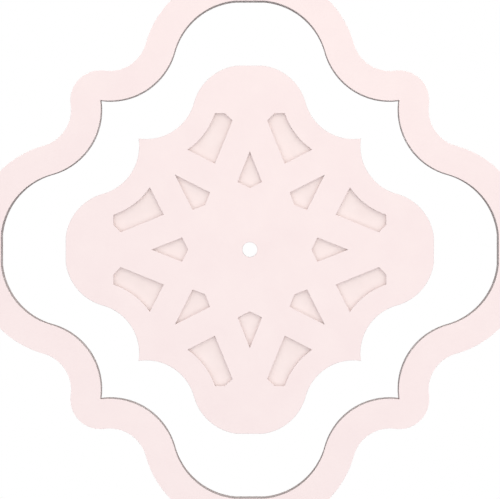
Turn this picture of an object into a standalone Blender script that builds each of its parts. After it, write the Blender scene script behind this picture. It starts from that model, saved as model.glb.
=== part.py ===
# Ceiling medallion in two flat pieces cut from one-inch board: a centre plate with
# sixteen blind pockets around a wire hole, and a separate ring around it.
#
# Metres, +Z up. The origin lies on the ceiling, at the middle of the wire hole.
# Both pieces have their backs at z = 0, against the ceiling, and their faces look down.

import math
from collections import namedtuple

import bmesh
import bpy

INCH = 0.0254

OVERALL_WIDTH = 42 * INCH
BOARD_THICKNESS = 1 * INCH
POCKET_DEPTH = 0.25 * INCH
RING_BAND = 2.25 * INCH
WIRE_HOLE_RADIUS = 1.125 * INCH / 2

# Angle of one facet on every arc, and on the small wire hole.
ARC_STEP = math.radians(4)
HOLE_STEP = math.radians(9)
# Facets that meet at less than this angle are shaded as one curve.
SMOOTHED_UP_TO = math.radians(30)

# An ogee quatrefoil has four round lobes on the axes, and four cusps on the diagonals.
# reach: from the centre to the short straight that cuts off the top of a lobe.
# cut_off: how far the lobe's arc would rise above that straight.
# spread: how far the arc's centre is from the middle line of its lobe.
# lobe, hollow: radius of the convex arc, and of the concave arc that follows it.
# turn: how far from its top the convex arc runs before the curve changes over.
Quatrefoil = namedtuple("Quatrefoil", "reach cut_off spread lobe hollow turn")

RING_OPENING = Quatrefoil(
    reach=OVERALL_WIDTH / 2 - RING_BAND,
    cut_off=0.0005,
    spread=0.0162,
    lobe=0.1326,
    hollow=0.1291,
    turn=math.radians(74.5),
)
PLATE_EDGE = Quatrefoil(
    reach=0.3522,
    cut_off=0.0007,
    spread=0.0129,
    lobe=0.0974,
    hollow=0.0948,
    turn=math.radians(74.6),
)

# A kite pocket points away from the centre. Its distances are measured from there.
Kite = namedtuple("Kite", "heel shoulder half_width apex")

AXIS_KITE = Kite(heel=0.1183, shoulder=0.1296, half_width=0.0229, apex=0.1877)
DIAGONAL_KITE = Kite(heel=0.1211, shoulder=0.1314, half_width=0.0232, apex=0.2022)

# A fan pocket, in the eighth of the plate between +Y and the diagonal. It starts at the
# foot, runs along the strap to the tip, follows the hollow of the plate's edge up to the
# crown, and comes back over a short slant to the foot.
FAN_FOOT = (0.0670, 0.1649)
FAN_STRAP_SLOPE = math.radians(27.1)
FAN_HOLLOW_CENTRE = (0.1965, 0.3042)
FAN_HOLLOW_RADIUS = 0.1369
FAN_CROWN_HEIGHT = 0.2608
FAN_CROWN_CORNER = 0.0477
FAN_SLANT_END = (0.0335, 0.2472)

# Pale blush paint, as linear values.
BLUSH = (0.843, 0.726, 0.726, 1.0)
PAINT_ROUGHNESS = 0.6


def clear_scene():
    for item in list(bpy.data.objects):
        bpy.data.objects.remove(item)


def arc(centre, radius, start, end, step=ARC_STEP):
    """Points on an arc from the angle start to the angle end, both included."""
    pieces = max(1, math.ceil(abs(end - start) / step))
    angles = [start + (end - start) * i / pieces for i in range(pieces + 1)]
    return [
        (centre[0] + radius * math.cos(a), centre[1] + radius * math.sin(a))
        for a in angles
    ]


def circle(radius, step):
    return arc((0, 0), radius, 0, 2 * math.pi, step)[:-1]


def turned(points, angle):
    c, s = math.cos(angle), math.sin(angle)
    return [(x * c - y * s, x * s + y * c) for x, y in points]


def mirrored_on_diagonal(points):
    return [(y, x) for x, y in points]


def mirrored_on_y(points):
    return [(-x, y) for x, y in points]


def without_repeats(points):
    """The closed loop of points, with each point that lies on the one before left out."""
    return [
        p for p, before in zip(points, points[-1:] + points[:-1])
        if math.dist(p, before) > 1e-6
    ]


def quatrefoil_centres(shape):
    """Centres of the lobe arc and of the hollow arc beside +Y, and the cusp's distance along X."""
    lobe = (shape.spread, shape.reach + shape.cut_off - shape.lobe)
    between = shape.lobe + shape.hollow
    hollow = (
        lobe[0] + between * math.sin(shape.turn),
        lobe[1] + between * math.cos(shape.turn),
    )
    # The cusp is where the hollow's circle crosses the diagonal on the inner side.
    middle = (hollow[0] + hollow[1]) / 2
    power = (hollow[0] ** 2 + hollow[1] ** 2 - shape.hollow**2) / 2
    cusp = middle - math.sqrt(middle**2 - power)
    return lobe, hollow, cusp


def quatrefoil(shape, moved_out=0.0):
    """Closed outline of a quatrefoil, or of the line at a distance outside it."""
    lobe, hollow, cusp = quatrefoil_centres(shape)
    # The straight meets the lobe's arc in a slight corner.
    meets = math.asin(1 - shape.cut_off / shape.lobe)
    corner = (lobe[0] + shape.lobe * math.cos(meets), shape.reach)
    change = math.pi / 2 - shape.turn
    to_cusp = math.atan2(cusp - hollow[1], cusp - hollow[0]) + 2 * math.pi
    # Outside, the corner becomes a short bend, and the cusp a round horn.
    eighth = arc(corner, moved_out, math.pi / 2, meets)
    eighth += arc(lobe, shape.lobe + moved_out, meets, change)
    eighth += arc(hollow, shape.hollow - moved_out, change + math.pi, to_cusp)
    eighth += arc((cusp, cusp), moved_out, to_cusp - math.pi, math.pi / 4)
    quarter = eighth + mirrored_on_diagonal(eighth)[::-1]
    outline = []
    for k in range(4):
        outline += turned(quarter, -k * math.pi / 2)
    return without_repeats(outline)


def kite(shape):
    """A kite on +Y, its apex outwards."""
    return [
        (0, shape.heel),
        (shape.half_width, shape.shoulder),
        (0, shape.apex),
        (-shape.half_width, shape.shoulder),
    ]


def fan():
    """The fan pocket between +Y and the diagonal."""
    # The tip is where the strap's edge meets the hollow.
    along = (math.cos(FAN_STRAP_SLOPE), math.sin(FAN_STRAP_SLOPE))
    back = (FAN_FOOT[0] - FAN_HOLLOW_CENTRE[0], FAN_FOOT[1] - FAN_HOLLOW_CENTRE[1])
    run = back[0] * along[0] + back[1] * along[1]
    rest = back[0] ** 2 + back[1] ** 2 - FAN_HOLLOW_RADIUS**2
    length = -run - math.sqrt(run**2 - rest)
    tip = (back[0] + length * along[0], back[1] + length * along[1])
    tip_angle = math.atan2(tip[1], tip[0]) + 2 * math.pi

    rise = FAN_HOLLOW_CENTRE[1] - FAN_CROWN_HEIGHT
    crown_angle = math.pi + math.asin(rise / FAN_HOLLOW_RADIUS)
    curve = arc(FAN_HOLLOW_CENTRE, FAN_HOLLOW_RADIUS, tip_angle, crown_angle)
    return [FAN_FOOT, *curve, (FAN_CROWN_CORNER, FAN_CROWN_HEIGHT), FAN_SLANT_END]


def pockets():
    """Outlines of the sixteen pockets."""
    outlines = []
    for k in range(4):
        quarter = k * math.pi / 2
        outlines.append(turned(kite(AXIS_KITE), quarter))
        outlines.append(turned(kite(DIAGONAL_KITE), quarter + math.pi / 4))
        outlines.append(turned(fan(), quarter))
        outlines.append(turned(mirrored_on_y(fan()), quarter))
    return outlines


def draw_loop(bm, points, height):
    """A closed loop at one height, as its edges."""
    corners = [bm.verts.new((x, y, height)) for x, y in points]
    return [bm.edges.new(pair) for pair in zip(corners, corners[1:] + corners[:1])]


def raise_wall(bm, loop, rise):
    """Extrudes a loop straight up into a wall, and gives the wall's upper edges."""
    extruded = bmesh.ops.extrude_edge_only(bm, edges=loop)["geom"]
    corners = [item for item in extruded if isinstance(item, bmesh.types.BMVert)]
    bmesh.ops.translate(bm, verts=corners, vec=(0, 0, rise))
    return [item for item in extruded if isinstance(item, bmesh.types.BMEdge)]


def fill(bm, loops):
    """A flat face inside the first loop, with the other loops as its holes."""
    edges = [edge for loop in loops for edge in loop]
    bmesh.ops.triangle_fill(bm, edges=edges, use_beauty=True)


def board(name, edge, holes, recesses, paint):
    """A flat piece of board: its outer edge, holes right through it, and blind recesses."""
    bm = bmesh.new()
    face_loops = [draw_loop(bm, outline, -BOARD_THICKNESS) for outline in [edge, *holes]]
    back_loops = [raise_wall(bm, loop, BOARD_THICKNESS) for loop in face_loops]
    fill(bm, back_loops)
    for outline in recesses:
        rim = draw_loop(bm, outline, -BOARD_THICKNESS)
        fill(bm, [raise_wall(bm, rim, POCKET_DEPTH)])
        face_loops.append(rim)
    fill(bm, face_loops)
    bmesh.ops.recalc_face_normals(bm, faces=bm.faces)

    mesh = bpy.data.meshes.new(name)
    bm.to_mesh(mesh)
    bm.free()
    mesh.shade_smooth()
    mesh.set_sharp_from_angle(angle=SMOOTHED_UP_TO)
    mesh.materials.append(paint)
    piece = bpy.data.objects.new(name, mesh)
    bpy.context.scene.collection.objects.link(piece)
    return piece


def blush_paint(name):
    """Flat pale pink paint over the whole board."""
    paint = bpy.data.materials.new(name)
    paint.use_nodes = True
    shader = paint.node_tree.nodes["Principled BSDF"]
    shader.inputs["Base Color"].default_value = BLUSH
    shader.inputs["Roughness"].default_value = PAINT_ROUGHNESS
    shader.inputs["Metallic"].default_value = 0.0
    return paint


def centre_plate():
    return board(
        "centre_plate",
        edge=quatrefoil(PLATE_EDGE),
        holes=[circle(WIRE_HOLE_RADIUS, HOLE_STEP)],
        recesses=pockets(),
        paint=blush_paint("plate_paint"),
    )


def outer_ring():
    return board(
        "outer_ring",
        edge=quatrefoil(RING_OPENING, moved_out=RING_BAND),
        holes=[quatrefoil(RING_OPENING)],
        recesses=[],
        paint=blush_paint("ring_paint"),
    )


def main():
    clear_scene()
    ceiling_point = bpy.data.objects.new("ceiling_point", None)
    bpy.context.scene.collection.objects.link(ceiling_point)
    for piece in (centre_plate(), outer_ring()):
        piece.parent = ceiling_point


main()
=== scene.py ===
from math import acos, atan2, cos, pi, radians, sin, sqrt

import bmesh
import bpy
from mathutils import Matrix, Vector


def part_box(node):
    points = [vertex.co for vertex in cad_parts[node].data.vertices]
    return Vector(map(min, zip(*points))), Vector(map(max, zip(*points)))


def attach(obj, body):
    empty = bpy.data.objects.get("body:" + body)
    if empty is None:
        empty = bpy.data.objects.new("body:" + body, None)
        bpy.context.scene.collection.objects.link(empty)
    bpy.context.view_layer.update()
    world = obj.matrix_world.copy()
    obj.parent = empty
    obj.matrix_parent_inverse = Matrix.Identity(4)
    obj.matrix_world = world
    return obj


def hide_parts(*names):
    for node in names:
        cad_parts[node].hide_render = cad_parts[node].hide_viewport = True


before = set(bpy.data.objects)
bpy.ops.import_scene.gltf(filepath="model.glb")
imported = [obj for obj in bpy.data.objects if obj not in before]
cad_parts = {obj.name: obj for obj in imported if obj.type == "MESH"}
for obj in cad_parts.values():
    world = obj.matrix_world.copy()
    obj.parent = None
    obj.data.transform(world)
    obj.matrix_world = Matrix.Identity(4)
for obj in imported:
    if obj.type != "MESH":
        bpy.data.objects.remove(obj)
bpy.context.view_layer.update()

# Faces look down. The backs are at the top of the frame, the faces at its bottom.
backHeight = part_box("outer_ring")[1][2]
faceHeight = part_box("outer_ring")[0][2]
boardThickness = backHeight - faceHeight
middleHeight = (faceHeight + backHeight) / 2

# How finely curves are drawn, and how the router leaves the edges
finish = {
    "arcStep": radians(1.5),
    "holeSides": 72,
    "arris": 0.0008,             # width of the small round on the edges of face and back
    "arrisCuts": 2,
    "sharpFrom": radians(45),    # edges that turn more than this get the small round
    "smoothUpTo": radians(20),
    "flatUpTo": radians(0.5),    # faces that turn less than this are one face
    "penSize": 0.01,             # of the plane that an outline's first point is made from
    "weld": 0.00001,             # points nearer than this are one point
    "sameHeight": 0.00001,
}


def deselectAll():
    bpy.ops.object.select_all(action="DESELECT")


def onlySelect(piece):
    deselectAll()
    piece.select_set(True)
    bpy.context.view_layer.objects.active = piece


def penDown(name, x, y, height):
    # one vertex, ready to be extruded into an outline
    deselectAll()
    bpy.ops.mesh.primitive_plane_add(size=finish["penSize"], location=(0, 0, 0))
    piece = bpy.context.object
    piece.name = name
    bpy.ops.object.mode_set(mode="EDIT")
    bpy.ops.mesh.select_all(action="SELECT")
    bpy.ops.mesh.merge(type="CENTER")
    bpy.ops.transform.translate(value=(x, y, height))
    return piece, (x, y)


def penLine(pen, x, y):
    step = (x - pen[0], y - pen[1], 0)
    bpy.ops.mesh.extrude_region_move(TRANSFORM_OT_translate={"value": step})
    return (x, y)


def penArc(pen, centre, turn, height):
    # turn is clockwise seen from above
    steps = round(abs(turn) / finish["arcStep"])
    bpy.ops.mesh.spin(
        steps=steps, angle=turn, center=(centre[0], centre[1], height), axis=(0, 0, 1)
    )
    x, y = pen[0] - centre[0], pen[1] - centre[1]
    return (
        centre[0] + x * cos(turn) + y * sin(turn),
        centre[1] - x * sin(turn) + y * cos(turn),
    )


def fillOutline():
    bpy.ops.mesh.select_all(action="SELECT")
    bpy.ops.mesh.remove_doubles(threshold=finish["weld"])
    bpy.ops.mesh.fill(use_beauty=True)
    bpy.ops.object.mode_set(mode="OBJECT")


def pullUp(piece, rise):
    # always upwards, whichever way the filled outline faces
    onlySelect(piece)
    thickness = piece.modifiers.new("thickness", "SOLIDIFY")
    thickness.thickness = rise
    thickness.offset = round(piece.data.polygons[0].normal.z)
    bpy.ops.object.modifier_apply(modifier=thickness.name)


def mirrorAcross(piece):
    onlySelect(piece)
    mirror = piece.modifiers.new("otherHalf", "MIRROR")
    mirror.use_axis = (True, False, False)
    mirror.merge_threshold = finish["weld"]
    bpy.ops.object.modifier_apply(modifier=mirror.name)


def fourRound(piece):
    # three more copies of everything, a quarter turn apart
    onlySelect(piece)
    bpy.ops.object.mode_set(mode="EDIT")
    bpy.ops.mesh.select_all(action="SELECT")
    bpy.ops.mesh.spin(steps=4, dupli=True, angle=2 * pi, center=(0, 0, 0), axis=(0, 0, 1))
    bpy.ops.mesh.select_all(action="SELECT")
    bpy.ops.mesh.remove_doubles(threshold=finish["weld"])
    bpy.ops.object.mode_set(mode="OBJECT")


def lobeCentres(lobe):
    bulge = Vector((lobe["spread"], lobe["reach"] + lobe["cutOff"] - lobe["round"]))
    between = lobe["round"] + lobe["hollow"]
    hollow = bulge + between * Vector((sin(lobe["turn"]), cos(lobe["turn"])))
    middle = (hollow.x + hollow.y) / 2
    cusp = middle - sqrt(middle**2 - (hollow.length_squared - lobe["hollow"] ** 2) / 2)
    return bulge, hollow, Vector((cusp, cusp))


def drawLobes(name, lobe, out=0.0):
    # Half a lobe from its top to the diagonal, then its mirror image, then all four.
    # out moves the line away from the opening, which bends it round the corners and cusps.
    bulge, hollow, cusp = lobeCentres(lobe)
    cornerTurn = acos(1 - lobe["cutOff"] / lobe["round"])   # where the straight meets the arc
    corner = Vector((bulge.x + lobe["round"] * sin(cornerTurn), lobe["reach"]))
    hollowTurn = atan2(cusp.y - hollow.y, cusp.x - hollow.x) + pi / 2 + lobe["turn"]
    hornTurn = atan2(hollow.y - cusp.y, hollow.x - cusp.x) - pi / 4
    piece, pen = penDown(name, 0, lobe["reach"] + out, faceHeight)
    pen = penLine(pen, corner.x, lobe["reach"] + out)
    if out:
        pen = penArc(pen, corner, cornerTurn, faceHeight)
    pen = penArc(pen, bulge, lobe["turn"] - cornerTurn, faceHeight)
    pen = penArc(pen, hollow, -hollowTurn, faceHeight)
    if out:
        pen = penArc(pen, cusp, hornTurn, faceHeight)
    bpy.ops.object.mode_set(mode="OBJECT")
    mirrorAcross(piece)
    fourRound(piece)
    return piece


# The ring: its opening's lobe, and the band's width around it
ring = {
    "band": 0.05715,
    "cutOff": 0.0005,         # a short straight cuts this much off the top of each lobe
    "spread": 0.0162,         # how far a lobe's two arcs have their centres from its middle
    "round": 0.1326,          # radius of those two arcs
    "hollow": 0.1291,         # radius of the arcs between them and the cusps
    "turn": radians(74.5),    # where round and hollow meet, from the lobe's middle line
}
ring["reach"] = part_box("outer_ring")[1][0] - ring["band"]


def makeRing():
    inner = drawLobes("ringInner", ring)
    outer = drawLobes("ringBoard", ring, out=ring["band"])
    inner.select_set(True)
    outer.select_set(True)
    bpy.context.view_layer.objects.active = outer
    bpy.ops.object.join()
    bpy.ops.object.mode_set(mode="EDIT")
    fillOutline()
    pullUp(outer, boardThickness)
    return outer


ringBoard = makeRing()
print("ring cut out")

# The plate: its edge, the wire hole, and the pockets in one eighth of it
plate = {
    "cutOff": 0.0007,
    "spread": 0.0129,
    "round": 0.0974,
    "hollow": 0.0948,
    "turn": radians(74.6),
    "holeRadius": 0.0142875,
    "pocketDepth": 0.00635,
    "cutterRun": 0.01,        # how far below the face the cutters of the pockets begin
}
plate["reach"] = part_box("centre_plate")[1][0]
cutterStart = faceHeight - plate["cutterRun"]

# heel, shoulder and apex are distances from the plate's middle
kites = {
    "onAxis": {"heel": 0.1183, "shoulder": 0.1296, "halfWidth": 0.0229, "apex": 0.1877},
    "onDiagonal": {"heel": 0.1211, "shoulder": 0.1314, "halfWidth": 0.0232, "apex": 0.2022},
}

fan = {
    "foot": (0.0670, 0.1649),         # the corner between the two kites
    "strapSlope": radians(27.1),      # of the side beside the diagonal kite
    "hollowCentre": (0.1965, 0.3042),
    "hollowRadius": 0.1369,           # of the side along the plate's hollow edge
    "crownHeight": 0.2608,
    "crownCorner": 0.0477,
    "slantEnd": (0.0335, 0.2472),     # where the side beside the axis kite begins
}


def drawKite(name, kite):
    piece, pen = penDown(name, 0, kite["heel"], cutterStart)
    pen = penLine(pen, kite["halfWidth"], kite["shoulder"])
    pen = penLine(pen, 0, kite["apex"])
    pen = penLine(pen, -kite["halfWidth"], kite["shoulder"])
    penLine(pen, 0, kite["heel"])
    return piece


def drawFan(name):
    centre = Vector(fan["hollowCentre"])
    along = Vector((cos(fan["strapSlope"]), sin(fan["strapSlope"])))
    foot = Vector(fan["foot"]) - centre
    run = foot.dot(along)
    # the tip is where the side beside the diagonal kite meets the hollow
    tip = foot + along * (-run - sqrt(run**2 - foot.length_squared + fan["hollowRadius"] ** 2))
    crown = fan["crownHeight"] - centre.y
    crown = Vector((-sqrt(fan["hollowRadius"] ** 2 - crown**2), crown))
    sweep = tip.angle(crown)
    piece, pen = penDown(name, *fan["foot"], cutterStart)
    pen = penLine(pen, *(centre + tip))
    pen = penArc(pen, centre, sweep, cutterStart)
    pen = penLine(pen, fan["crownCorner"], fan["crownHeight"])
    pen = penLine(pen, *fan["slantEnd"])
    penLine(pen, *fan["foot"])
    return piece


def makeCutter(piece):
    fillOutline()
    pullUp(piece, plate["cutterRun"] + plate["pocketDepth"])
    return piece


def cutPockets(board):
    axisKite = makeCutter(drawKite("axisKites", kites["onAxis"]))
    diagonalKite = makeCutter(drawKite("diagonalKites", kites["onDiagonal"]))
    onlySelect(diagonalKite)
    bpy.ops.transform.rotate(value=radians(45), orient_axis="Z", center_override=(0, 0, 0))
    bpy.ops.object.transform_apply(location=True, rotation=True, scale=False)
    fans = makeCutter(drawFan("fans"))
    mirrorAcross(fans)
    cutters = [axisKite, diagonalKite, fans]
    for cutter in cutters:
        fourRound(cutter)
        onlySelect(cutter)
        bpy.ops.object.mode_set(mode="EDIT")
        bpy.ops.mesh.select_all(action="SELECT")
        bpy.ops.mesh.normals_make_consistent(inside=False)
        bpy.ops.object.mode_set(mode="OBJECT")
    drillLength = 4 * boardThickness   # well past the face and the back
    deselectAll()
    bpy.ops.mesh.primitive_cylinder_add(
        vertices=finish["holeSides"],
        radius=plate["holeRadius"],
        depth=drillLength,
        location=(0, 0, faceHeight),
    )
    cutters.append(bpy.context.object)
    for cutter in cutters:
        onlySelect(board)
        cut = board.modifiers.new("cut", "BOOLEAN")
        cut.operation = "DIFFERENCE"
        cut.solver = "EXACT"
        cut.object = cutter
        bpy.ops.object.modifier_apply(modifier=cut.name)
        bpy.data.objects.remove(cutter)


def makePlate():
    board = drawLobes("plateBoard", plate)
    bpy.ops.object.mode_set(mode="EDIT")
    fillOutline()
    pullUp(board, boardThickness)
    cutPockets(board)
    return board


plateBoard = makePlate()
print("plate cut out, with its pockets and wire hole")


def softenArrises(board):
    # the sharp edges that lie in the face or in the back get a small round
    onlySelect(board)
    bpy.ops.object.mode_set(mode="EDIT")
    bpy.ops.mesh.select_mode(type="EDGE")
    bpy.ops.mesh.select_all(action="SELECT")
    bpy.ops.mesh.dissolve_limited(angle_limit=finish["flatUpTo"])
    bpy.ops.mesh.select_all(action="DESELECT")
    mesh = bmesh.from_edit_mesh(board.data)
    for edge in mesh.edges:
        heights = [corner.co.z for corner in edge.verts]
        inFace = all(abs(z - faceHeight) < finish["sameHeight"] for z in heights)
        inBack = all(abs(z - backHeight) < finish["sameHeight"] for z in heights)
        sharp = edge.calc_face_angle(0) > finish["sharpFrom"]
        edge.select_set(sharp and (inFace or inBack))
    bmesh.update_edit_mesh(board.data)
    bpy.ops.mesh.bevel(
        offset=finish["arris"], segments=finish["arrisCuts"], loop_slide=False
    )
    bpy.ops.object.mode_set(mode="OBJECT")
    bpy.ops.object.shade_smooth_by_angle(angle=finish["smoothUpTo"])


for board in (ringBoard, plateBoard):
    softenArrises(board)
print("arrises softened")

for board, node, slotName in (
    (ringBoard, "outer_ring", "ring_paint"),
    (plateBoard, "centre_plate", "plate_paint"),
):
    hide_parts(node)
    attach(board, "root")


# What the paint has in common on all surfaces
spray = {
    "specular": 0.35,
    "noiseRange": (0.3, 0.7),   # nearly all values of a noise lie between these two
    "noiseRoughness": 0.55,
    "patchDetail": 4.0,
    "sheenDetail": 3.0,
    "sheenFiner": 2.3,          # the sheen changes over shorter ways than the colour, by this
    "reliefDetail": 2.0,
    "markDetail": 3.0,
    "markRoughness": 0.5,
    "wallTilt": 0.2,            # walls and edges are what faces up or down by less than this
}

# Paint: one pink, with a tone for each kind of surface; the darker tones of the walls, the
# edges and the pocket floors are painted shade.
# Where the coat is thin, the white board makes it paler, and where it is thick, it is pinker.
blush = {
    "face": {
        "thin": (0.852, 0.738, 0.736),
        "thick": (0.834, 0.714, 0.716),
        "patchScale": 14.0,
        "roughness": (0.55, 0.63),
        "stippleScale": 900.0,   # spray stipple, a little over a millimetre
        "stipple": 0.00012,
        "waveScale": 28.0,       # the board is not perfectly flat
        "wave": 0.0004,
    },
    # painted shade: the pocket floors are coloured a little darker and creamier than the face,
    # standing in for the shade and the warm bounced light in the pockets
    "pocket": {
        "thin": (0.834, 0.725, 0.714),
        "thick": (0.812, 0.697, 0.686),
        "patchScale": 22.0,
        "roughness": (0.62, 0.72),
        "stippleScale": 1100.0,
        "stipple": 0.0001,
        "waveScale": 90.0,
        "wave": 0.0001,
    },
    # painted shade: the pockets' walls are coloured darker than the face, standing in for the
    # shade on them
    "wall": {
        "thin": (0.745, 0.662, 0.644),
        "thick": (0.711, 0.626, 0.608),
        "patchScale": 30.0,
        "roughness": (0.64, 0.74),
        "stippleScale": 1500.0,
        "stipple": 0.00004,
        "waveScale": 110.0,
        "wave": 0.00004,
        "markSize": (0.05, 0.0012),   # how long and how high the cutter's marks are
        "markDepth": 0.00003,
        "markShade": 0.07,
    },
    # painted shade: the sawn edges are coloured darker than the face, standing in for the
    # shade on them
    "edge": {
        "thin": (0.750, 0.655, 0.647),
        "thick": (0.698, 0.598, 0.590),
        "patchScale": 35.0,
        "roughness": (0.68, 0.80),
        "stippleScale": 1600.0,
        "stipple": 0.00005,
        "waveScale": 120.0,
        "wave": 0.00005,
        "markSize": (0.08, 0.002),
        "markDepth": 0.00005,
        "markShade": 0.12,
    },
    "back": {
        "thin": (0.846, 0.748, 0.738),
        "thick": (0.798, 0.684, 0.674),
        "patchScale": 7.0,
        "roughness": (0.72, 0.82),
        "stippleScale": 700.0,
        "stipple": 0.00015,
        "waveScale": 40.0,
        "wave": 0.0004,
    },
}


def addNode(tree, kind, place, **values):
    node = tree.nodes.new(kind)
    node.location = place
    for name, value in values.items():
        node.inputs[name].default_value = value
    return node


def addNoise(tree, where, place, scale, detail):
    noise = addNode(tree, "ShaderNodeTexNoise", place, Scale=scale, Detail=detail)
    noise.inputs["Roughness"].default_value = spray["noiseRoughness"]
    tree.links.new(where.outputs["Object"], noise.inputs["Vector"])
    return noise.outputs["Fac"]


def addBump(tree, place, height, depth, below=None):
    bump = addNode(tree, "ShaderNodeBump", place, Strength=1.0, Distance=depth)
    tree.links.new(height, bump.inputs["Height"])
    if below:
        tree.links.new(below, bump.inputs["Normal"])
    return bump.outputs["Normal"]


def addCutterMarks(tree, where, place, length, height):
    # level streaks round the wall, as a turning cutter leaves them
    x, y = place
    stretch = addNode(tree, "ShaderNodeMapping", (x - 200, y))
    stretch.inputs["Scale"].default_value = (1 / length, 1 / length, 1 / height)
    marks = addNode(tree, "ShaderNodeTexNoise", place, Scale=1.0, Detail=spray["markDetail"])
    marks.inputs["Roughness"].default_value = spray["markRoughness"]
    tree.links.new(where.outputs["Object"], stretch.inputs["Vector"])
    tree.links.new(stretch.outputs["Vector"], marks.inputs["Vector"])
    return marks.outputs["Fac"]


def shadeMarks(tree, place, color, marks, shade):
    # painted shade: the colour is darker along the cutter's marks, as shade in their grooves
    mix = tree.nodes.new("ShaderNodeMix")
    mix.location = place
    mix.data_type = "RGBA"
    mix.blend_type = "MULTIPLY"
    tree.links.new(marks, mix.inputs["Factor"])
    tree.links.new(color, mix.inputs["A"])
    mix.inputs["B"].default_value = (1 - shade, 1 - shade, 1 - shade, 1)
    return mix.outputs["Result"]


def makePaint(name):
    coat = blush[name]
    paint = bpy.data.materials.new(name + "Paint")
    paint.use_nodes = True
    tree = paint.node_tree
    shader = tree.nodes["Principled BSDF"]
    shader.inputs["Specular IOR Level"].default_value = spray["specular"]
    where = tree.nodes.new("ShaderNodeTexCoord")
    where.location = (-1300, 0)

    # the coat is thinner in some patches and thicker in others
    low, high = spray["noiseRange"]
    patches = addNoise(tree, where, (-1000, 300), coat["patchScale"], spray["patchDetail"])
    tint = addNode(tree, "ShaderNodeValToRGB", (-700, 300))
    thin, thick = tint.color_ramp.elements
    thin.position, thin.color = low, (*coat["thin"], 1)
    thick.position, thick.color = high, (*coat["thick"], 1)
    tree.links.new(patches, tint.inputs["Fac"])
    color = tint.outputs["Color"]

    # the sheen changes too, over shorter ways
    sheenScale = coat["patchScale"] * spray["sheenFiner"]
    sheen = addNoise(tree, where, (-1000, 0), sheenScale, spray["sheenDetail"])
    spread = addNode(tree, "ShaderNodeMapRange", (-700, 0))
    spread.inputs["From Min"].default_value = low
    spread.inputs["From Max"].default_value = high
    spread.inputs["To Min"].default_value = coat["roughness"][0]
    spread.inputs["To Max"].default_value = coat["roughness"][1]
    tree.links.new(sheen, spread.inputs["Value"])
    tree.links.new(spread.outputs["Result"], shader.inputs["Roughness"])

    # long waves of the board first, the spray's stipple on top of them
    wave = addNoise(tree, where, (-1000, -300), coat["waveScale"], spray["reliefDetail"])
    surface = addBump(tree, (-700, -300), wave, coat["wave"])
    stipple = addNoise(tree, where, (-1000, -600), coat["stippleScale"], spray["reliefDetail"])
    surface = addBump(tree, (-500, -450), stipple, coat["stipple"], surface)
    if "markSize" in coat:
        marks = addCutterMarks(tree, where, (-1000, -900), *coat["markSize"])
        surface = addBump(tree, (-300, -600), marks, coat["markDepth"], surface)
        color = shadeMarks(tree, (-400, 300), color, marks, coat["markShade"])
    tree.links.new(color, shader.inputs["Base Color"])
    tree.links.new(surface, shader.inputs["Normal"])
    return paint


coats = list(blush)
paints = [makePaint(name) for name in coats]


def coatFor(polygon, corners):
    if polygon.normal.z > spray["wallTilt"]:
        return "back"
    if polygon.normal.z > -spray["wallTilt"]:
        # a pocket's wall stays in the half of the board beside the face
        inPocket = max(corner.z for corner in corners) < middleHeight
        return "wall" if inPocket else "edge"
    if polygon.center.z > faceHeight + plate["pocketDepth"] / 2:
        return "pocket"
    return "face"


for board in (ringBoard, plateBoard):
    board.data.materials.clear()
    for paint in paints:
        board.data.materials.append(paint)
    for polygon in board.data.polygons:
        corners = [board.data.vertices[i].co for i in polygon.vertices]
        polygon.material_index = coats.index(coatFor(polygon, corners))
print("painted")

# Floor, camera and lights
studio = {
    "floorHeight": -3.3,
    "floorSize": 60.0,
    "floorColor": (0.92, 0.91, 0.90),
    "floorRoughness": 0.9,
    "keyPlace": (-0.2, 0.56, -3.0),
    "keySize": 20.0,
    "keyPower": 1217.0,
    "lampPlace": (-0.5, 1.3, -1.3),
    "lampSize": 0.8,
    "lampPower": 2.0,
    "lampColor": (1.0, 0.75, 0.45),
    "topPlace": (0, 0, 2),
    "topPower": 3.0,
    "topAngle": radians(2),
    "stripAngles": (20, 110, 200, 290),   # degrees round the board
    "stripDistance": 3.0,
    "stripHeight": 0.03,      # just above the backs, so that the faces get none of it
    "stripSize": (2.0, 0.02),
    "stripPower": 30.0,
}

camera = {
    "distance": 2.85,
    "sensor": 36.0,
    "seenWidth": 0.9565,
    "aside": (-0.02, 0.042),  # a little towards the picture's right and its top
    "picture": (500, 499),    # px
    "ringAt": (249.8, 249.7),  # px, where the ring's middle is in the picture
}


def makeFloor():
    deselectAll()
    bpy.ops.mesh.primitive_plane_add(
        size=studio["floorSize"], location=(0, 0, studio["floorHeight"])
    )
    floor = bpy.context.object
    floor.name = "studioFloor"
    pale = bpy.data.materials.new("paleFloor")
    pale.use_nodes = True
    shader = pale.node_tree.nodes["Principled BSDF"]
    shader.inputs["Base Color"].default_value = (*studio["floorColor"], 1)
    shader.inputs["Roughness"].default_value = studio["floorRoughness"]
    floor.data.materials.append(pale)
    floor.visible_diffuse = False
    floor.visible_glossy = False
    floor.visible_shadow = False


def makeWorld():
    world = bpy.data.worlds.new("studio")
    world.use_nodes = True
    bpy.context.scene.world = world
    nodes = world.node_tree.nodes
    links = world.node_tree.links
    nodes.clear()
    backdrop = nodes.new("ShaderNodeBackground")
    backdrop.inputs["Color"].default_value = (1, 1, 1, 1)
    backdrop.inputs["Strength"].default_value = 1.0
    dark = nodes.new("ShaderNodeBackground")
    dark.inputs["Color"].default_value = (0, 0, 0, 1)
    rays = nodes.new("ShaderNodeLightPath")
    mix = nodes.new("ShaderNodeMixShader")
    output = nodes.new("ShaderNodeOutputWorld")
    links.new(rays.outputs["Is Camera Ray"], mix.inputs["Fac"])
    links.new(dark.outputs["Background"], mix.inputs[1])
    links.new(backdrop.outputs["Background"], mix.inputs[2])
    links.new(mix.outputs["Shader"], output.inputs["Surface"])


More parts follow.
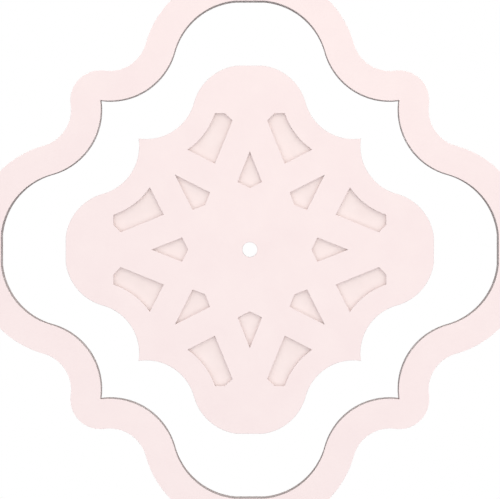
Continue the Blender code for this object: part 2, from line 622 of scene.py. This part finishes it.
def addLight(name, kind, place, power):
    # every light is turned to the middle of the backs
    light = bpy.data.lights.new(name, kind)
    light.energy = power
    holder = bpy.data.objects.new(name, light)
    holder.location = place
    towards = Vector((0, 0, 0)) - Vector(place)
    holder.rotation_mode = "QUATERNION"
    holder.rotation_quaternion = towards.to_track_quat("-Z", "Y")
    holder.visible_camera = False
    bpy.context.scene.collection.objects.link(holder)
    return light


def makeLights():
    # a very wide disc below gives the soft light, a small warm lamp beside it the warm floors
    key = addLight("key", "AREA", studio["keyPlace"], studio["keyPower"])
    key.shape = "DISK"
    key.size = studio["keySize"]
    lamp = addLight("lamp", "AREA", studio["lampPlace"], studio["lampPower"])
    lamp.shape = "DISK"
    lamp.size = studio["lampSize"]
    lamp.color = studio["lampColor"]
    # the backs and the outer edges, which the photograph's view doesn't reach
    top = addLight("top", "SUN", studio["topPlace"], studio["topPower"])
    top.angle = studio["topAngle"]
    for degrees in studio["stripAngles"]:
        x = studio["stripDistance"] * cos(radians(degrees))
        y = studio["stripDistance"] * sin(radians(degrees))
        place = (x, y, studio["stripHeight"])
        strip = addLight(f"strip{degrees}", "AREA", place, studio["stripPower"])
        strip.shape = "RECTANGLE"
        strip.size, strip.size_y = studio["stripSize"]


def makeCamera():
    lens = bpy.data.cameras.new("view")
    lens.sensor_width = camera["sensor"]
    lens.lens = camera["sensor"] * camera["distance"] / camera["seenWidth"]
    width, height = camera["picture"]
    across, down = camera["ringAt"]
    left, up = camera["aside"]
    lens.shift_x = left / camera["seenWidth"] - (across - width / 2) / width
    lens.shift_y = -up / camera["seenWidth"] + (down - height / 2) / width
    holder = bpy.data.objects.new("view", lens)
    # looking straight up, with +Y at the top of the picture and -X at its right
    holder.rotation_euler = (0, pi, 0)
    holder.location = (left, up, faceHeight - camera["distance"])
    bpy.context.scene.collection.objects.link(holder)
    bpy.context.scene.camera = holder


makeFloor()
makeWorld()
makeLights()
makeCamera()
bpy.context.scene.view_settings.view_transform = "Standard"
print("studio set up")
